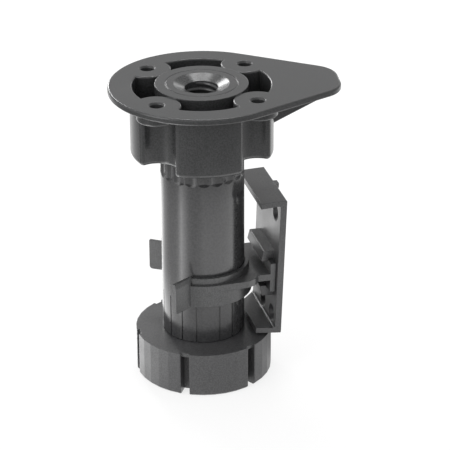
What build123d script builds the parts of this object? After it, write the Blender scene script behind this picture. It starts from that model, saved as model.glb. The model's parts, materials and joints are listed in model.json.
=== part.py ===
from build123d import *
import math
import os

# Adjustable cabinet leg with a screw-on mounting plate, a plinth clip and a plinth bracket.
# Sizes are in millimetres. The origin is the centre of the foot's underside on the floor, +Z is up,
# and +X points towards the plinth board that the bracket carries.

# Heights above the floor
leg_height = 135.0           # flange's upper face, with the foot screwed fully in
foot_height = 20.0
running_gap = 0.3            # between faces that turn or slide past each other
overshoot = 1.0              # how far a cutter runs past the face that it opens

# Mounting plate: a round flange with a tongue, on a socket for the tube
plate_turn = -7.5            # degrees, the tongue's direction from +X
flange_radius = 40.0
flange_thickness = 2.6
flange_top_round = 0.8
flange_bottom_round = 0.5
tongue_reach = 59.2
tongue_corner = 13.0
tongue_spread = 4.04         # from the tongue's middle line to the centre of each rounded corner
screw_circle = 30.0          # radius of the circle that the screws lie on
screw_count = 4
screw_hole = 2.75
screw_chamfer = 0.7
boss_depth = 6.3             # from the flange's upper face
boss_round = 0.8
socket_depth = 30.6          # from the flange's upper face
lobe_radius = 30.8
lobe_wall = 1.3
lobe_floor = 2.0
lobe_round = 1.5             # along the lobes' lower edges
lobe_edge_round = 1.8        # along their upright edges
lobe_end_wall = 1.9          # between a slot's round end and the socket's scallop
slot_round = 0.7
slot_bridge = 0.4            # how far the slots' round ends, about the screws, reach into the raised disc
socket_wall = 1.7            # between the tube's socket and the slots
disc_rise = 0.5
disc_ring_inset = 4.6        # from the raised disc's edge to the ring line on it
disc_ring_width = 0.3
disc_ring_depth = 0.15
centre_bore = 7.2
cone_width = 4.8
cone_depth = 2.0
hub_wall = 2.6
hub_depth = 17.0
socket_fit = 0.1             # radial, between the tube and its socket
rib_thickness = 2.4
rib_reach = 58.0
rib_drop = 16.5              # below the flange, at the socket
rib_tip_drop = 2.8

# Leg tube
tube_radius = 18.2
tube_wall = 2.2
flute_count = 20
flute_depth = 0.9
flute_cutter = 5.4
flute_reach = 8.6            # below the socket
flute_end = 1.1              # arched end of each flute
flute_phase = -11.3          # degrees
groove_length = 19.7
groove_width = 0.6
groove_depth = 0.4
grooves_per_half = 8
parting_angle = -97.2        # degrees, the mould's parting line at the front of the tube
parting_gap = 16.1           # degrees, from the parting line to the first groove
nut_depth = 24.0             # threaded length at the tube's lower end
nut_lead_in = 1.0

# Threaded stem
stem_radius = 13.0
stem_wall = 3.2
stem_engagement = 22.0       # thread left in the tube with the foot screwed fully out
stem_floor = 4.0
stem_chamfer = 1.2
foot_travel = 30.0

# Foot base
foot_radius = 30.0
foot_sides = 36
foot_wall = 2.6
foot_top = 1.8
foot_chamfer = 0.8
notch_count = 6
notch_width = 4.0
notch_depth = 6.0            # from the skirt's face to the back of the notch
notch_wall = 1.6             # round the notch, inside the skirt
notch_step = 1.2             # how far the top's rim steps back above a notch
foot_hub_wall = 2.4
foot_hub_floor = 2.5
foot_rib = 1.8
foot_rib_lift = 1.5
stem_fit = 0.1               # radial, between the stem and the foot's hub

# Plinth clip: a split ring on the tube, with a stem plate and a T head
clip_fit = 0.2               # radial, between the ring and the tube
clip_lip_wall = 1.8
clip_band_wall = 3.0
clip_bottom = 39.2           # above the floor
clip_height = 13.2
clip_opening = 118.5         # degrees from +X to each end of the ring
web_rise = 7.0               # above the ring's lower edge
web_thickness = 3.1
web_neck = 4.8               # between the ring's band and the T head
web_shoulder = 9.4           # radius of the stem plate's two round shoulders
web_shoulder_reach = 12.8    # from the axis to the shoulders' centres, along X
web_shoulder_spread = 11.6   # and across
flare_reach = 9.5
flare_angle = 34.6           # degrees, between each flared end and the X axis
flare_thickness = 2.1
flare_height = 14.0
flare_chamfer = 0.5          # off the thickness, at the upper edge
flare_chamfer_drop = 2.2
flare_corner = 1.5
head_thickness = 2.4
head_half_length = 16.5
head_rise = 1.4              # above the ring's lower edge
head_height = 13.6

# Plinth bracket: a channel with two jaws that hold the T head
slide_gap = 0.2              # between the head and the bracket's faces
bracket_lean = 2.2           # degrees, the head and the bracket lean outwards at the top
bracket_thickness = 2.8
bracket_half_length = 18.6
bracket_gap = 1.0            # above the foot
bracket_height = 64.0
bracket_depth = 11.5
bracket_flange = 2.5
bracket_toe = 0.8            # how far each flange's free edge bends towards the other
bracket_cut = 11.0           # along the lower flange, of its cut corner
bracket_fillet = 0.8         # between the upright plate and its flanges
bracket_round = 0.5
jaw_half_length = 11.8
jaw_lip = 3.0
jaw_hook = 0.8               # how far a lip overlaps the head
jaw_thickness = 3.7          # of the block beyond the head's edge
jaw_slant = 1.0              # how far a jaw's face slopes back from its lip
jaw_round = 0.6
board_hole = 2.1
board_sink = 1.9             # width and depth of the countersink
upper_hole_inset = 8.6       # from the bracket's end to the holes' height
upper_hole_spacing = 22.0
lower_hole_inset = 7.0
lower_hole_spacing = 14.0
lower_hole_shift = -5.0      # from the bracket's middle
spike_length = 5.3
spike_shift = 0.8            # from the bracket's middle
spike_slant = 1.7            # how much shorter the spike is at its tip
spike_reach = 1.5
spike_height = 2.0

# Places that follow from the sizes above
flange_under = leg_height - flange_thickness
socket_bottom = leg_height - socket_depth
boss_under = leg_height - boss_depth
disc_top = leg_height + disc_rise
socket_bore = tube_radius + socket_fit
disc_radius = socket_bore + socket_wall
slot_outer = lobe_radius - lobe_wall
slot_end = screw_circle - disc_radius + slot_bridge
boss_radius = slot_end - lobe_end_wall
tube_bottom = foot_height + running_gap
tube_bore = tube_radius - tube_wall
nut_bore = stem_radius + running_gap
nut_top = tube_bottom + nut_depth
flute_start = socket_bottom - flute_reach
groove_top = tube_bottom + groove_length
stem_top = foot_height + foot_travel + stem_engagement
clip_inner = tube_radius + clip_fit
lip_outer = clip_inner + clip_lip_wall
band_outer = clip_inner + clip_band_wall
clip_top = clip_bottom + clip_height
web_bottom = clip_bottom + web_rise
web_top = web_bottom + web_thickness
flare_top = clip_bottom + flare_height
head_inner = band_outer + web_neck
head_outer = head_inner + head_thickness
head_middle = (head_inner + head_outer) / 2
head_bottom = clip_bottom + head_rise
head_top = head_bottom + head_height
bracket_inner = head_outer + slide_gap
bracket_outer = bracket_inner + bracket_thickness
bracket_edge = bracket_outer - bracket_depth
bracket_bottom = foot_height + bracket_gap
bracket_top = bracket_bottom + bracket_height
screw_angles = [45 + 360 / screw_count * i for i in range(screw_count)]


def ring(outer, inner, bottom, top):
    """An upright tube between two heights."""
    return Pos(0, 0, bottom) * extrude(Circle(outer) - Circle(inner), top - bottom)


def disc(radius, bottom, top):
    """An upright cylinder between two heights."""
    return Pos(0, 0, bottom) * extrude(Circle(radius), top - bottom)


def block(low, high):
    """A box between two corners."""
    size = [b - a for a, b in zip(low, high)]
    return Pos(*low) * Box(*size, align=(Align.MIN, Align.MIN, Align.MIN))


def around(shape, angles):
    """Copies of a shape, turned about the upright axis."""
    return [Rot(0, 0, angle) * shape for angle in angles]


def polar(radius, angle):
    """A point at a radius and an angle in degrees."""
    return radius * math.cos(math.radians(angle)), radius * math.sin(math.radians(angle))


def polygon(corners):
    """A flat face with straight sides."""
    return make_face(Polyline(*corners, close=True))


def flange_outline():
    """Teardrop: a circle with a tongue, whose straight sides are tangent to it and to two round corners."""
    corner = Circle(tongue_corner)
    corners = [Pos(tongue_reach - tongue_corner, side * tongue_spread) * corner for side in (1, -1)]
    return make_hull([circle.edge() for circle in (Circle(flange_radius), *corners)])


def flange():
    """The plate's flat part with its rounded rim."""
    body = Pos(0, 0, flange_under) * extrude(flange_outline(), flange_thickness)
    body = fillet(body.faces().sort_by(Axis.Z)[-1].edges(), flange_top_round)
    return fillet(body.faces().sort_by(Axis.Z)[0].edges(), flange_bottom_round)


def tongue_rib():
    """Upright rib from the socket to the tongue's tip."""
    root = lobe_radius - lobe_wall / 2
    low = flange_under - rib_drop
    corners = [(root, flange_under), (root, low), (lobe_radius, low)]
    corners += [(rib_reach, flange_under - rib_tip_drop), (rib_reach, flange_under)]
    return extrude(Plane.XZ * polygon(corners), rib_thickness / 2, both=True)


def cut_slots(body, screws):
    """Four arc slots that open into the lobes, with rounded rims."""
    slot = Circle(slot_outer) - Circle(disc_radius)
    slot -= [place * Circle(slot_end) for place in screws]
    body -= Pos(0, 0, socket_bottom + lobe_floor) * extrude(slot, socket_depth)
    rims = [edge for wire in body.faces().sort_by(Axis.Z)[-1].inner_wires() for edge in wire.edges()]
    return fillet(rims, slot_round)


def mounting_plate():
    """Flange, four screw bosses, lobed socket, threaded centre hole and the rib under the tongue."""
    screws = [Pos(*polar(screw_circle, angle), 0) for angle in screw_angles]
    body = flange() + disc(lobe_radius, socket_bottom, flange_under)
    body -= [place * disc(boss_radius, socket_bottom - overshoot, boss_under) for place in screws]
    sides = body.edges().filter_by(Axis.Z).filter_by(lambda edge: edge.center().Z < boss_under)
    body = fillet(sides, lobe_edge_round)
    body = fillet(body.faces().sort_by(Axis.Z)[0].outer_wire().edges(), lobe_round)
    boss = disc(boss_radius, boss_under, flange_under)
    boss = fillet(boss.faces().sort_by(Axis.Z)[0].edges(), boss_round)
    body += [place * boss for place in screws]
    body = cut_slots(body + tongue_rib(), screws)
    body -= disc(socket_bore, socket_bottom - overshoot, flange_under)

    hub = centre_bore + hub_wall
    body += disc(disc_radius, leg_height - slot_round, disc_top) + disc(hub, disc_top - hub_depth, disc_top)
    body -= disc(centre_bore, socket_bottom, disc_top)
    body -= Pos(0, 0, disc_top - cone_depth / 2) * Cone(centre_bore, centre_bore + cone_width, cone_depth)
    line = disc_radius - disc_ring_inset + disc_ring_width / 2
    body -= ring(line, line - disc_ring_width, disc_top - disc_ring_depth, disc_top)

    drill = disc(screw_hole, boss_under, leg_height)
    sink = Cone(screw_hole, screw_hole + screw_chamfer, screw_chamfer)
    drill += Pos(0, 0, leg_height - screw_chamfer / 2) * sink
    body -= [place * drill for place in screws]
    return Rot(0, 0, plate_turn) * body


def leg_tube():
    """Tube with flutes at its upper end, narrow grooves and a threaded bore at its lower end."""
    body = ring(tube_radius, tube_bore, tube_bottom, flange_under)
    body += ring(tube_bore, nut_bore, tube_bottom, nut_top)
    lead = nut_bore + nut_lead_in
    body -= Pos(0, 0, tube_bottom + nut_lead_in / 2) * Cone(lead, nut_bore, nut_lead_in)

    offset = tube_radius - flute_depth + flute_cutter
    flute = Pos(offset, 0, 0) * disc(flute_cutter, flute_start, flange_under)
    arch = Cone(flute_cutter - flute_depth, flute_cutter, flute_end)
    flute += Pos(offset, 0, flute_start - flute_end / 2) * arch
    body -= around(flute, [flute_phase + 360 / flute_count * i for i in range(flute_count)])

    half = groove_width / 2
    low = (tube_radius - groove_depth, -half, tube_bottom)
    groove = block(low, (tube_radius + groove_depth, half, groove_top - half))
    cap = Rot(0, 90, 0) * Cylinder(half, 2 * groove_depth)
    groove += Pos(tube_radius, 0, groove_top - half) * cap
    step = (180 - 2 * parting_gap) / (grooves_per_half - 1)
    offsets = [parting_gap + step * i for i in range(grooves_per_half)]
    body -= around(groove, [parting_angle + side * angle for side in (1, -1) for angle in offsets])
    return body


def threaded_stem():
    """Hollow spindle that screws into the tube. Its thread's crests lie on this cylinder."""
    body = disc(stem_radius, foot_hub_floor, stem_top)
    body = chamfer(body.edges().sort_by(Axis.Z)[-1], stem_chamfer)
    return body - disc(stem_radius - stem_wall, foot_hub_floor + stem_floor, stem_top)


def foot_base():
    """Faceted cup, open below, with six notches for the hand and a hub that holds the stem."""
    outline = RegularPolygon(foot_radius, foot_sides, major_radius=False, rotation=180 / foot_sides)
    body = extrude(outline, foot_height)
    body = chamfer(body.faces().sort_by(Axis.Z)[0].edges(), foot_chamfer)
    ceiling = foot_height - foot_top
    body -= disc(foot_radius - foot_wall, 0, ceiling)
    bore = stem_radius + stem_fit
    body += disc(bore + foot_hub_wall, 0, ceiling)
    rib = block((bore, -foot_rib / 2, foot_rib_lift), (foot_radius - foot_wall, foot_rib / 2, ceiling))
    body += around(rib, [360 / notch_count * (i + 0.5) for i in range(notch_count)])
    body -= disc(bore, foot_hub_floor, foot_height)

    half, back = notch_width / 2, foot_radius - notch_depth
    low = (back - notch_wall, -half - notch_wall, 0)
    lining = block(low, (foot_radius - foot_wall / 2, half + notch_wall, ceiling))
    notch = block((back, -half, 0), (foot_radius + overshoot, half, ceiling))
    notch += block((foot_radius - notch_step, -half, 0), (foot_radius + overshoot, half, foot_height))
    angles = [360 / notch_count * i for i in range(notch_count)]
    return body + around(lining, angles) - around(notch, angles)


def sector(half_angle):
    """A wedge about +X, from minus to plus the angle, that reaches past the whole clip."""
    reach = 2 * (head_outer + head_half_length)
    return polygon([(0, 0)] + [polar(reach, half_angle * share) for share in (-1, -0.5, 0, 0.5, 1)])


def web_outline():
    """Stem plate from above: the ring's circle, two round shoulders and a neck as wide as the T head."""
    shoulder = Circle(web_shoulder)
    shoulders = [Pos(web_shoulder_reach, side * web_shoulder_spread) * shoulder for side in (1, -1)]
    body = make_hull([circle.edge() for circle in (Circle(band_outer), *shoulders)])
    neck = Rectangle(head_middle, 2 * head_half_length, align=(Align.MIN, Align.CENTER))
    return body + neck


def lean_out(shape):
    """The T head and the bracket lean together, about the head's middle."""
    pivot = Pos(head_middle, 0, (head_bottom + head_top) / 2)
    return pivot * Rot(0, bracket_lean, 0) * pivot.inverse() * shape


def flared_end(side):
    """One end of the ring, bent outwards to guide it onto the tube."""
    start_x, start_y = polar(band_outer, clip_opening)
    along_x, along_y = polar(flare_reach, 180 - flare_angle)
    inward_x, inward_y = polar(flare_thickness, 270 - flare_angle)
    end_x, end_y = start_x + along_x, start_y + along_y
    corners = [(start_x, start_y), (end_x, end_y), (end_x + inward_x, end_y + inward_y)]
    end = extrude(polygon(corners + [polar(clip_inner, clip_opening)]), flare_height)
    outer_edges = end.edges().filter_by(Axis((0, 0, 0), (along_x, along_y, 0)))
    upper = outer_edges.sort_by(Axis.Z)[-1]
    face = end.faces().sort_by_distance((start_x + along_x / 2, start_y + along_y / 2, flare_height / 2))[0]
    end = chamfer(upper, flare_chamfer_drop, flare_chamfer, reference=face)
    end = fillet(end.edges().group_by(Axis.Z)[0].sort_by(Axis.X)[0], flare_corner)
    end = Pos(0, 0, clip_bottom) * end
    return end if side > 0 else end.mirror(Plane.XZ)


def plinth_clip():
    """Split ring with flared ends, a stem plate and an upright T head."""
    span = sector(clip_opening)
    lip = extrude(Circle(lip_outer) & span, clip_top - web_bottom)
    body = Pos(0, 0, web_bottom) * lip
    band = extrude(Circle(band_outer) & span, web_top - clip_bottom)
    body += Pos(0, 0, clip_bottom) * band
    body += Pos(0, 0, web_bottom) * extrude(web_outline() & span, web_thickness)
    low = (head_inner, -head_half_length, head_bottom)
    body += lean_out(block(low, (head_outer, head_half_length, head_top)))
    body += [flared_end(side) for side in (1, -1)]
    return body - disc(clip_inner, clip_bottom - overshoot, flare_top + overshoot)


def board_holes(height, spacing, shift=0):
    """A pair of countersunk holes through the bracket's upright plate."""
    middle = (bracket_inner + bracket_outer) / 2
    drill = Rot(0, 90, 0) * Cylinder(board_hole, bracket_thickness)
    sink = Rot(0, 90, 0) * Cone(board_hole + board_sink, board_hole, board_sink)
    hole = Pos(middle, 0, height) * drill + Pos(bracket_inner + board_sink / 2, 0, height) * sink
    return [Pos(0, shift + side * spacing / 2, 0) * hole for side in (1, -1)]


def jaw(edge, direction):
    """A block that reaches over one edge of the T head and hooks behind it."""
    tip = edge - direction * jaw_hook
    roof = edge + direction * running_gap
    back = roof + direction * jaw_thickness
    inner = head_inner - slide_gap
    corners = [(inner - jaw_lip, tip), (inner, tip), (inner, roof), (bracket_inner, roof)]
    corners += [(bracket_inner, back), (inner - jaw_lip + jaw_slant, back)]
    profile = polygon(corners)
    profile = fillet(profile.vertices().sort_by(Axis.X)[:2], jaw_round)
    return extrude(Plane.XZ * profile, jaw_half_length, both=True)


def channel():
    """Upright plate between two flanges that toe in, with filleted and rounded corners."""
    under, over = bracket_top - bracket_flange, bracket_bottom + bracket_flange
    corners = [(bracket_edge, bracket_bottom + bracket_toe), (bracket_outer, bracket_bottom)]
    corners += [(bracket_outer, bracket_top), (bracket_edge, bracket_top - bracket_toe)]
    corners += [(bracket_edge, under - bracket_toe), (bracket_inner, under)]
    corners += [(bracket_inner, over), (bracket_edge, over + bracket_toe)]
    profile = polygon(corners)
    profile = fillet(profile.vertices().group_by(Axis.X)[1], bracket_fillet)
    profile = fillet(profile.vertices().group_by(Axis.X)[-1], bracket_round)
    return extrude(Plane.XZ * profile, bracket_half_length, both=True)


def plinth_bracket():
    """Channel with two jaws on the T head, four screw holes, a locating spike and one cut corner."""
    body = channel() + jaw(head_top, 1) + jaw(head_bottom, -1)
    end = bracket_half_length
    corner = polygon([(bracket_edge, end - bracket_cut), (bracket_edge, end), (bracket_inner, end)])
    body -= Pos(0, 0, bracket_bottom) * extrude(corner, bracket_flange + bracket_toe)
    root, tip = bracket_outer - bracket_round, bracket_outer + spike_reach
    near, far = spike_shift - spike_length / 2, spike_shift + spike_length / 2
    spike = polygon([(root, near), (root, far), (tip, far), (tip, near + spike_slant)])
    body += Pos(0, 0, bracket_top - spike_height) * extrude(spike, spike_height)
    body -= board_holes(bracket_top - upper_hole_inset, upper_hole_spacing)
    body -= board_holes(bracket_bottom + lower_hole_inset, lower_hole_spacing, lower_hole_shift)
    return lean_out(body)


nodes = {
    "mounting_plate": mounting_plate,
    "leg_tube": leg_tube,
    "threaded_stem": threaded_stem,
    "foot_base": foot_base,
    "plinth_clip": plinth_clip,
    "plinth_bracket": plinth_bracket,
}

os.makedirs("parts", exist_ok=True)
for name, make in nodes.items():
    shape = make()
    export_step(shape, f"parts/{name}.step")
    print(f"{name}: {shape.volume / 1000:.2f} cm3")
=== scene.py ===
import bpy
import json
import math
from mathutils import Matrix, Vector


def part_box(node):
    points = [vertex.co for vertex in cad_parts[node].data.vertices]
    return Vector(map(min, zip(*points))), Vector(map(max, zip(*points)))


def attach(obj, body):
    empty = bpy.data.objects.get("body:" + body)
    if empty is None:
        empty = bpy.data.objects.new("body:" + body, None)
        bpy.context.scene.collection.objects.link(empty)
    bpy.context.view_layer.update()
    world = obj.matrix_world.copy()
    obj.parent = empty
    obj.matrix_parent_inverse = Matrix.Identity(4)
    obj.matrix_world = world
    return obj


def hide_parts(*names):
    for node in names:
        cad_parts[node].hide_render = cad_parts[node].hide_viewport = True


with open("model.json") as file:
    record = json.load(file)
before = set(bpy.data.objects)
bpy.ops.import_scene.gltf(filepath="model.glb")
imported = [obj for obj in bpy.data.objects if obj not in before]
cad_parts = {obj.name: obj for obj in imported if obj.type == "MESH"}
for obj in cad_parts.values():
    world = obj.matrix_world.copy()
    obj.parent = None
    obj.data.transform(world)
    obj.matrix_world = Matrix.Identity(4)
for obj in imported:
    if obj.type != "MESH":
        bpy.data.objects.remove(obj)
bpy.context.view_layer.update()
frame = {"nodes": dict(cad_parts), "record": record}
mm = 0.001
mergeDistance = 0.005  # mm, closer points of a mesh are one
bodyOf = {
    node: body
    for body, nodes in frame["record"]["behaviour"]["bodies"].items()
    for node in nodes
}


# Small helpers

def clearSelection():
    if bpy.context.object and bpy.context.object.mode != "OBJECT":
        bpy.ops.object.mode_set(mode="OBJECT")
    bpy.ops.object.select_all(action="DESELECT")


def pick(piece):
    clearSelection()
    piece.select_set(True)
    bpy.context.view_layer.objects.active = piece


def applyModifier(piece, kind, **settings):
    pick(piece)
    modifier = piece.modifiers.new(kind.title(), kind)
    for name, value in settings.items():
        setattr(modifier, name, value)
    bpy.ops.object.modifier_apply(modifier=modifier.name)


def settle(piece, smoothAngle):
    # place goes into the mesh, doubles merge, faces point outwards, soft edges are shaded smooth
    pick(piece)
    bpy.ops.object.transform_apply(location=True, rotation=True, scale=True)
    bpy.ops.object.mode_set(mode="EDIT")
    bpy.ops.mesh.select_all(action="SELECT")
    bpy.ops.mesh.remove_doubles(threshold=mergeDistance * mm)
    bpy.ops.mesh.normals_make_consistent(inside=False)
    bpy.ops.object.mode_set(mode="OBJECT")
    bpy.ops.object.shade_smooth_by_angle(angle=math.radians(smoothAngle))


def hexColour(text):
    # sRGB hex to the linear values that the shaders want, by the numbers of the sRGB curve
    channels = [int(text[i:i + 2], 16) / 255 for i in (1, 3, 5)]
    return [c / 12.92 if c <= 0.04045 else ((c + 0.055) / 1.055) ** 2.4 for c in channels] + [1.0]


def addNode(tree, kind, inputs=None, **settings):
    # an input that is a socket is linked, any other is set
    node = tree.nodes.new(kind)
    for name, value in settings.items():
        setattr(node, name, value)
    for name, value in (inputs or {}).items():
        if isinstance(value, bpy.types.NodeSocket):
            tree.links.new(value, node.inputs[name])
        else:
            node.inputs[name].default_value = value
    return node


def newMaterial(name):
    material = bpy.data.materials.new(name)
    material.use_nodes = True
    material.node_tree.nodes.clear()
    return material, material.node_tree


# Camera at the photo's angle: degrees, and distances in mm about a point on the leg's axis

photoCamera = {
    "azimuth": -14.487,
    "elevation": 25.49,
    "roll": -0.23,
    "targetHeight": 67.5,
    "distance": 950.0,
    "aside": 9.731,
    "above": 1.11,
    "focalPixels": 2171.4,
    "framePixels": 450,
    "sensorWidth": 36.0,
    "clipFactor": 20,        # sees from the distance divided by this to the distance times this
}


def placeCamera(view):
    azimuth, elevation, roll = (math.radians(view[key]) for key in ("azimuth", "elevation", "roll"))
    back = Vector((
        math.sin(azimuth) * math.cos(elevation),
        -math.cos(azimuth) * math.cos(elevation),
        math.sin(elevation),
    ))
    right = Vector((math.cos(azimuth), math.sin(azimuth), 0))
    up = back.cross(right)
    rolledRight = right * math.cos(roll) + up * math.sin(roll)
    rolledUp = up * math.cos(roll) - right * math.sin(roll)
    place = Vector((0, 0, view["targetHeight"])) + back * view["distance"]
    place += rolledRight * view["aside"] + rolledUp * view["above"]
    data = bpy.data.cameras.new("photoCamera")
    data.sensor_width = view["sensorWidth"]
    data.lens = view["focalPixels"] / view["framePixels"] * view["sensorWidth"]
    data.clip_start = view["distance"] * mm / view["clipFactor"]
    data.clip_end = view["distance"] * mm * view["clipFactor"]
    camera = bpy.data.objects.new("photoCamera", data)
    bpy.context.collection.objects.link(camera)
    axes = Matrix((rolledRight, rolledUp, back)).transposed().to_4x4()
    camera.matrix_world = Matrix.Translation(place * mm) @ axes
    bpy.context.scene.camera = camera


placeCamera(photoCamera)
print("camera placed")


# Studio: a white sheet whose glow in the gloss is painted light and painted shade by place,
# a window to the left, two panes behind and a soft box above

studio = {
    "sheetSize": 6000.0,
    "sheetColour": "#f4f4f4",
    "sheetGlow": 0.75,       # share of plain white that the camera sees, the rest takes the shadow
    "sheetBounce": 0.9,      # light that the sheet gives to all that isn't gloss
    # each ring of the sheet, and the wall: degrees from +X and the brightness in the gloss, which
    # on the sheet's rings is painted light and painted shade
    "nearRing": [
        (-180, 2.6), (-160, 2.3), (-142, 1.5), (-115, 1.2), (-32, 1.1), (-10, 1.2), (5, 0.5),
        (30, 0.8), (60, 0.8), (100, 1.5), (120, 3.0), (154, 3.6), (180, 2.6),
    ],
    "middleRing": [
        (-180, 1.6), (-171, 2.2), (-163, 6.4), (-153, 3.6), (-143, 1.8), (-130, 1.4), (-114, 1.6),
        (-103, 2.2), (-30, 2.3), (-13, 2.6), (-2, 1.5), (9, 0.55), (40, 0.4), (62, 0.6), (84, 1.8),
        (103, 2.5), (117, 2.4), (133, 1.4), (154, 1.1), (167, 1.3), (180, 1.6),
    ],
    "farRing": [
        (-180, 0.45), (-150, 0.7), (-120, 0.42), (-60, 0.36), (-20, 0.7), (10, 1.2), (60, 1.2),
        (84, 1.3), (112, 1.3), (144, 0.4), (180, 0.45),
    ],
    "nearEdge": (70.0, 110.0),   # mm from the axis, where the near ring passes into the middle one
    "farEdge": (200.0, 245.0),   # and the middle ring into the far one
    "wallAround": [
        (-180, 1.2), (-120, 0.9), (-60, 0.6), (0, 0.6), (45, 0.66), (75, 0.66), (120, 0.8),
        (180, 1.2),
    ],
    "ambient": 1.0,          # light of the walls on all that isn't gloss
    "lamps": {               # place and size in mm
        "windowLeft": {"place": (-900, -380, 560), "size": (700, 900), "watts": 5.0},
        "windowBack": {"place": (-119, 969, 481), "size": (140, 540), "watts": 3.2},
        "paneBack": {"place": (468, 845, 326), "size": (110, 330), "watts": 0.2},
        "boxAbove": {"place": (116, 435, 914), "size": (340, 120), "watts": 2.0},
    },
}


def ramp(tree, value, stops):
    # the level at this value, on straight lines from stop to stop
    low, high = stops[0][0], stops[-1][0]
    peak = max(level for place, level in stops)
    share = addNode(tree, "ShaderNodeMapRange", {"Value": value, "From Min": low, "From Max": high})
    band = addNode(tree, "ShaderNodeValToRGB", {"Fac": share.outputs[0]})
    points = band.color_ramp.elements
    while len(points) < len(stops):
        points.new(0.5)  # anywhere, as each is placed below
    for point, (place, level) in zip(points, stops):
        point.position = (place - low) / (high - low)
        point.color = (level / peak, level / peak, level / peak, 1)
    scaled = addNode(tree, "ShaderNodeMath", {0: band.outputs[0], 1: peak}, operation="MULTIPLY")
    return scaled.outputs[0]


def azimuthOf(tree, vector):
    axes = addNode(tree, "ShaderNodeSeparateXYZ", {0: vector})
    angle = addNode(tree, "ShaderNodeMath", {
        0: axes.outputs["Y"], 1: axes.outputs["X"],
    }, operation="ARCTAN2")
    return addNode(tree, "ShaderNodeMath", {0: angle.outputs[0]}, operation="DEGREES").outputs[0]


def buildSheet(settings):
    clearSelection()
    bpy.ops.mesh.primitive_plane_add(size=settings["sheetSize"] * mm)
    sheet = bpy.context.object
    sheet.name = "sheet"
    material, tree = newMaterial("white paper sheet")
    place = addNode(tree, "ShaderNodeTexCoord").outputs["Object"]
    metres = addNode(tree, "ShaderNodeVectorMath", {0: place}, operation="LENGTH").outputs["Value"]
    distance = addNode(tree, "ShaderNodeMath", {0: metres, 1: 1 / mm}, operation="MULTIPLY")
    around = azimuthOf(tree, place)
    # what the gloss sees of the sheet is a painted glow: painted pools of light and painted shade
    # by ring and by side
    gloss = ramp(tree, around, settings["nearRing"])
    for edge, outside in (("nearEdge", "middleRing"), ("farEdge", "farRing")):
        low, high = settings[edge]
        share = addNode(tree, "ShaderNodeMapRange", {
            "Value": distance.outputs[0], "From Min": low, "From Max": high,
        })
        gloss = addNode(tree, "ShaderNodeMix", {
            0: share.outputs[0], 2: gloss, 3: ramp(tree, around, settings[outside]),
        }).outputs[0]
    paintedLightInGloss = addNode(tree, "ShaderNodeEmission", {"Strength": gloss})
    bounce = addNode(tree, "ShaderNodeEmission", {"Strength": settings["sheetBounce"]})
    paper = addNode(tree, "ShaderNodeBsdfDiffuse", {"Color": hexColour(settings["sheetColour"])})
    glow = addNode(tree, "ShaderNodeEmission")
    seen = addNode(tree, "ShaderNodeMixShader", {
        0: settings["sheetGlow"], 1: paper.outputs[0], 2: glow.outputs[0],
    })
    path = addNode(tree, "ShaderNodeLightPath")
    mixed = addNode(tree, "ShaderNodeMixShader", {
        0: path.outputs["Is Glossy Ray"], 1: bounce.outputs[0], 2: paintedLightInGloss.outputs[0],
    })
    mixed = addNode(tree, "ShaderNodeMixShader", {
        0: path.outputs["Is Camera Ray"], 1: mixed.outputs[0], 2: seen.outputs[0],
    })
    addNode(tree, "ShaderNodeOutputMaterial", {"Surface": mixed.outputs[0]})
    sheet.data.materials.append(material)
    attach(sheet, bodyOf["threaded_stem"])  # stays under the foot when the leg is drawn out


def buildWorld(settings):
    world = bpy.data.worlds.new("studio")
    world.use_nodes = True
    tree = world.node_tree
    tree.nodes.clear()
    place = addNode(tree, "ShaderNodeTexCoord").outputs["Generated"]
    wall = ramp(tree, azimuthOf(tree, place), settings["wallAround"])
    path = addNode(tree, "ShaderNodeLightPath")
    white = (1, 1, 1, 1)
    inGloss = addNode(tree, "ShaderNodeBackground", {"Color": white, "Strength": wall})
    soft = addNode(tree, "ShaderNodeBackground", {"Color": white, "Strength": settings["ambient"]})
    backdrop = addNode(tree, "ShaderNodeBackground", {"Color": white, "Strength": 1.0})
    mixed = addNode(tree, "ShaderNodeMixShader", {
        0: path.outputs["Is Glossy Ray"], 1: soft.outputs[0], 2: inGloss.outputs[0],
    })
    mixed = addNode(tree, "ShaderNodeMixShader", {
        0: path.outputs["Is Camera Ray"], 1: mixed.outputs[0], 2: backdrop.outputs[0],
    })
    addNode(tree, "ShaderNodeOutputWorld", {"Surface": mixed.outputs[0]})
    bpy.context.scene.world = world


def hangLamps(lamps, aim):
    for name, lamp in lamps.items():
        data = bpy.data.lights.new(name, "AREA")
        data.shape = "RECTANGLE"
        data.size, data.size_y = (side * mm for side in lamp["size"])
        data.energy = lamp["watts"]
        light = bpy.data.objects.new(name, data)
        bpy.context.collection.objects.link(light)
        place = Vector(lamp["place"]) * mm
        light.location = place
        light.rotation_euler = (aim - place).to_track_quat("-Z", "Y").to_euler()


buildSheet(studio)
buildWorld(studio)
hangLamps(studio["lamps"], Vector((0, 0, photoCamera["targetHeight"] * mm)))
bpy.context.scene.view_settings.view_transform = "Standard"
print("studio built")


# Plastics: black mouldings whose gloss comes from the mould's finish. Sizes and depths in mm

# each mottle colour is that of the grain's peaks: the grain's own tone, with a painted highlight on
# the peaks
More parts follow.
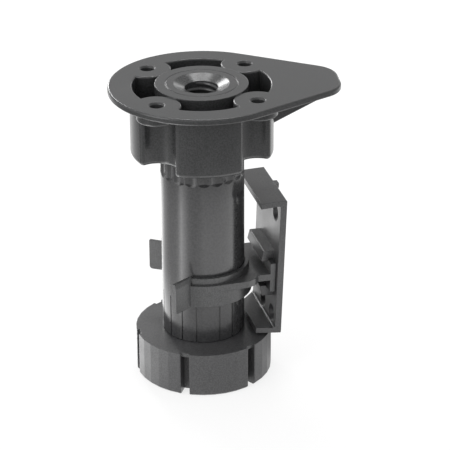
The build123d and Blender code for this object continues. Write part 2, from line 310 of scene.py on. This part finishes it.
finishes = {
    "mounting_plate": {      # fine even grain with peaks painted paler as a painted highlight, a soft sheen on the rims
        "name": "ABS moulded, fine spark finish",
        "colour": "#292a2a", "mottleAndSheen": "#373738", "roughness": 0.24, "roughSpread": 0.03,
        "grainSize": 0.6, "grainDepth": 0.010, "edge": 0.5, "drag": 0.0,
    },
    "leg_tube": {            # smooth, with long clear highlights and faint lines down the pull
        "name": "ABS moulded, polished core",
        "colour": "#2c2c2d", "mottleAndSheen": "#373738", "roughness": 0.21, "roughSpread": 0.03,
        "grainSize": 0.9, "grainDepth": 0.003, "edge": 0.25, "drag": 0.004,
    },
    "threaded_stem": {       # dull in the roots, a thin highlight along each crest
        "name": "polypropylene moulded, thread",
        "colour": "#2c2c2d", "mottleAndSheen": "#323233", "roughness": 0.34, "roughSpread": 0.05,
        "grainSize": 0.7, "grainDepth": 0.006, "edge": 0.25, "drag": 0.0,
    },
    "foot_base": {           # greyer and softer, a broad grainy highlight on each facet
        "name": "polypropylene moulded, satin",
        "colour": "#333334", "mottleAndSheen": "#454546", "roughness": 0.4, "roughSpread": 0.06,
        "grainSize": 0.6, "grainDepth": 0.022, "edge": 0.3, "drag": 0.0,
    },
    "plinth_clip": {         # satin, a little brighter where the ring bends
        "name": "nylon moulded, satin",
        "colour": "#292a2a", "mottleAndSheen": "#424243", "roughness": 0.34, "roughSpread": 0.05,
        "grainSize": 0.5, "grainDepth": 0.015, "edge": 0.25, "drag": 0.0,
    },
    "plinth_bracket": {      # satin, flat faces of one even grey
        "name": "ABS moulded, satin",
        "colour": "#2a2a2b", "mottleAndSheen": "#424243", "roughness": 0.38, "roughSpread": 0.05,
        "grainSize": 0.5, "grainDepth": 0.018, "edge": 0.25, "drag": 0.0,
    },
}

moulding = {                 # what all the plastics share
    "ior": 1.52,
    "flowWidth": 14.0,       # marks of the melt's flow in the gloss
    "flowDetail": 4.0,
    "flowRange": (0.3, 0.7),     # of the noise, spread over the whole range of gloss
    "grainDetail": 2.0,
    "grainRange": (0.36, 0.64),  # of the noise, from the blackest pit to the palest peak, painted shade to painted highlight
    "dragWidth": 1.2,        # lines of the core's pull, drawn long and thin
    "dragStretch": 0.02,
    "dragDetail": 3.0,
    "edgeSamples": 6,
}


def mouldedPlastic(finish, shared):
    material, tree = newMaterial(finish["name"])
    place = addNode(tree, "ShaderNodeTexCoord").outputs["Object"]
    # flow marks change the gloss a little
    flow = addNode(tree, "ShaderNodeTexNoise", {
        "Vector": place, "Scale": 1 / (shared["flowWidth"] * mm), "Detail": shared["flowDetail"],
    })
    gloss = addNode(tree, "ShaderNodeMapRange", {
        "Value": flow.outputs["Fac"],
        "From Min": shared["flowRange"][0],
        "From Max": shared["flowRange"][1],
        "To Min": finish["roughness"] - finish["roughSpread"],
        "To Max": finish["roughness"] + finish["roughSpread"],
    })
    # grain of the mould's face, drawn coarser than real so that it shows
    grain = addNode(tree, "ShaderNodeTexNoise", {
        "Vector": place, "Scale": 1 / (finish["grainSize"] * mm), "Detail": shared["grainDetail"],
    })
    # the grain's pits are painted blacker than its peaks: the grain's own random tone, with painted
    # shade in the pits and a painted highlight on the peaks
    grainAndPaintedSheen = addNode(tree, "ShaderNodeMapRange", {
        "Value": grain.outputs["Fac"],
        "From Min": shared["grainRange"][0],
        "From Max": shared["grainRange"][1],
    })
    colour = addNode(tree, "ShaderNodeMix", {
        0: grainAndPaintedSheen.outputs[0], 6: hexColour(finish["colour"]), 7: hexColour(finish["mottleAndSheen"]),
    }, data_type="RGBA")
    rounded = addNode(tree, "ShaderNodeBevel", {
        "Radius": finish["edge"] * mm,
    }, samples=shared["edgeSamples"])
    bump = addNode(tree, "ShaderNodeBump", {
        "Height": grain.outputs["Fac"],
        "Distance": finish["grainDepth"] * mm,
        "Normal": rounded.outputs[0],
    })
    if finish["drag"]:
        # lengthwise drag lines where the core slid out
        stretched = addNode(tree, "ShaderNodeMapping", {
            "Vector": place, "Scale": (1, 1, shared["dragStretch"]),
        })
        lines = addNode(tree, "ShaderNodeTexNoise", {
            "Vector": stretched.outputs[0],
            "Scale": 1 / (shared["dragWidth"] * mm),
            "Detail": shared["dragDetail"],
        })
        bump = addNode(tree, "ShaderNodeBump", {
            "Height": lines.outputs["Fac"],
            "Distance": finish["drag"] * mm,
            "Normal": bump.outputs[0],
        })
    surface = addNode(tree, "ShaderNodeBsdfPrincipled", {
        "Base Color": colour.outputs[2],
        "Roughness": gloss.outputs[0],
        "IOR": shared["ior"],
        "Normal": bump.outputs[0],
    })
    addNode(tree, "ShaderNodeOutputMaterial", {"Surface": surface.outputs[0]})
    return material


plastics = {node: mouldedPlastic(finish, moulding) for node, finish in finishes.items()}
print("plastics mixed")


# The CAD's mouldings keep their faces and take the new plastics

for node, plastic in plastics.items():
    for slot in frame["nodes"][node].material_slots:
        slot.material = plastic
    print("dressed", node)


# Threads are wound from a profile, traced in the XZ plane from one extruded vertex

def traceProfile(name, points, closed):
    clearSelection()
    bpy.ops.mesh.primitive_plane_add(size=mm)
    piece = bpy.context.object
    piece.name = name
    bpy.ops.object.mode_set(mode="EDIT")
    bpy.ops.mesh.select_all(action="SELECT")
    bpy.ops.mesh.merge(type="CENTER")
    here = Vector((0, 0, 0))
    for count, (x, z) in enumerate(points):
        step = Vector((x, 0, z)) * mm - here
        if count:
            bpy.ops.mesh.extrude_region_move(TRANSFORM_OT_translate={"value": step})
        else:
            bpy.ops.transform.translate(value=step)
        here += step
    bpy.ops.object.mode_set(mode="OBJECT")
    if closed:
        # the last edge joins the two ends of the line, which only one edge uses
        used = [index for edge in piece.data.edges for index in edge.vertices]
        for vertex in piece.data.vertices:
            vertex.select = used.count(vertex.index) == 1
        bpy.ops.object.mode_set(mode="EDIT")
        bpy.ops.mesh.edge_face_add()
        bpy.ops.object.mode_set(mode="OBJECT")
    return piece


def wind(piece, pitch, turns, steps):
    applyModifier(piece, "SCREW", screw_offset=pitch * mm, iterations=turns, steps=steps,
                  render_steps=steps, use_merge_vertices=False, use_smooth_shade=True)


# Thread of the plate's centre hole. Radii, widths and heights in mm, angles in degrees

holeThread = {
    "wall": 7.25,            # a little inside the bore's wall
    "crest": 6.3,
    "rootWidth": 2.0,
    "crestWidth": 0.6,
    "pitch": 2.4,
    "turns": 5,
    "steps": 72,             # to a turn
    "runOut": 14,            # steps over which each end sinks into the wall
    "endShare": 0.02,        # what is left of the height there, still inside the wall
    "bottom": 119.3,         # the last turn then ends just under the cone
    "startAngle": 100.0,
    "smoothAngle": 65.0,
}


def windHoleThread(shape):
    wall, crest = shape["wall"], shape["crest"]
    flank = (shape["rootWidth"] - shape["crestWidth"]) / 2
    points = [
        (wall, 0),
        (crest, flank),
        (crest, flank + shape["crestWidth"]),
        (wall, shape["rootWidth"]),
    ]
    piece = traceProfile("centreHoleThread", points, closed=True)
    wind(piece, shape["pitch"], shape["turns"], shape["steps"])
    last = shape["turns"] * shape["steps"]
    for vertex in piece.data.vertices:
        section = vertex.index // len(points)
        share = min(section, last - section, shape["runOut"]) / shape["runOut"]
        share = max(share, shape["endShare"])
        radius = math.hypot(vertex.co.x, vertex.co.y)
        spread = (wall * mm + (radius - wall * mm) * share) / radius
        vertex.co.x *= spread
        vertex.co.y *= spread
    pick(piece)
    bpy.ops.object.mode_set(mode="EDIT")
    bpy.ops.mesh.select_all(action="SELECT")
    bpy.ops.mesh.fill_holes(sides=len(points))
    bpy.ops.object.mode_set(mode="OBJECT")
    piece.rotation_euler.z = math.radians(shape["startAngle"])
    piece.location.z = shape["bottom"] * mm
    settle(piece, shape["smoothAngle"])
    return piece


# Stem of the foot: a hollow screw with a plain lower end. Radii, widths and heights in mm

stemThread = {
    "crest": 13.0,
    "root": 11.7,
    "bore": 9.8,
    "rootWidth": 1.0,
    "crestWidth": 1.0,
    "pitch": 4.0,
    "steps": 96,             # to a turn, and corners of the cutting bars
    "turnsBelow": 2,         # wound past the shoulder and the top, so that both cuts
    "turnsAbove": 1,         # go through whole turns
    "shoulder": 19.0,        # the plain end, held in the foot's hub, reaches up to here
    "overlap": 0.5,          # thread that stays inside the plain end
    "floor": 4.0,            # under the bore
    "overshoot": 1.0,        # of the boring bar, above the top
    "chamfer": 1.4,          # lead at the top
    "skin": 0.02,            # keeps the cutting bars' walls off the crests
    "smoothAngle": 35.0,
}
facingUp = 0.9  # a face with more upward normal than this is a top


def addCylinder(radius, bottom, top, corners):
    clearSelection()
    bpy.ops.mesh.primitive_cylinder_add(
        vertices=corners,
        radius=radius * mm,
        depth=(top - bottom) * mm,
        location=(0, 0, (bottom + top) / 2 * mm),
    )
    return bpy.context.object


def carve(piece, tool, operation):
    applyModifier(piece, "BOOLEAN", object=tool, operation=operation, solver="EXACT")
    bpy.data.objects.remove(tool)


def windStem(shape):
    low, high = (corner.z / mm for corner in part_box("threaded_stem"))
    pitch, steps, shoulder = shape["pitch"], shape["steps"], shape["shoulder"]
    outside = shape["crest"] + shape["skin"]
    rise = (pitch - shape["rootWidth"] - shape["crestWidth"]) / 2 + shape["rootWidth"]
    points = [
        (shape["root"], 0),
        (shape["root"], shape["rootWidth"]),
        (shape["crest"], rise),
        (shape["crest"], rise + shape["crestWidth"]),
        (shape["root"], pitch),
    ]
    piece = traceProfile("stemThread", points, closed=False)
    turns = math.ceil((high - shoulder) / pitch) + shape["turnsBelow"] + shape["turnsAbove"]
    wind(piece, pitch, turns, steps)
    piece.location.z = (shoulder - shape["turnsBelow"] * pitch) * mm
    settle(piece, shape["smoothAngle"])
    bpy.ops.object.mode_set(mode="EDIT")
    for height, side in ((shoulder - shape["overlap"], "clear_inner"), (high, "clear_outer")):
        bpy.ops.mesh.select_all(action="SELECT")
        bpy.ops.mesh.bisect(
            plane_co=(0, 0, height * mm), plane_no=(0, 0, 1), use_fill=True, **{side: True})
    bpy.ops.object.mode_set(mode="OBJECT")
    # the lead at the top: only what lies inside a chamfered bar stays
    bar = addCylinder(outside, low, high, steps)
    pick(bar)
    bpy.ops.object.mode_set(mode="EDIT")
    bpy.ops.mesh.select_all(action="DESELECT")
    bpy.ops.object.mode_set(mode="OBJECT")
    for face in bar.data.polygons:
        face.select = face.normal.z > facingUp
    bpy.ops.object.mode_set(mode="EDIT")
    bpy.ops.mesh.bevel(offset=shape["chamfer"] * mm, segments=1)
    bpy.ops.object.mode_set(mode="OBJECT")
    carve(piece, bar, "INTERSECT")
    plainEnd = addCylinder(outside, low, shoulder, steps)
    carve(piece, plainEnd, "UNION")
    bore = addCylinder(shape["bore"], low + shape["floor"], high + shape["overshoot"], steps)
    carve(piece, bore, "DIFFERENCE")
    settle(piece, shape["smoothAngle"])
    return piece


ridge = windHoleThread(holeThread)
ridge.data.materials.append(plastics["mounting_plate"])
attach(ridge, bodyOf["mounting_plate"])
print("centre hole threaded")

stem = windStem(stemThread)
stem.data.materials.append(plastics["threaded_stem"])
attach(stem, bodyOf["foot_base"])
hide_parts("threaded_stem")
print("stem threaded")
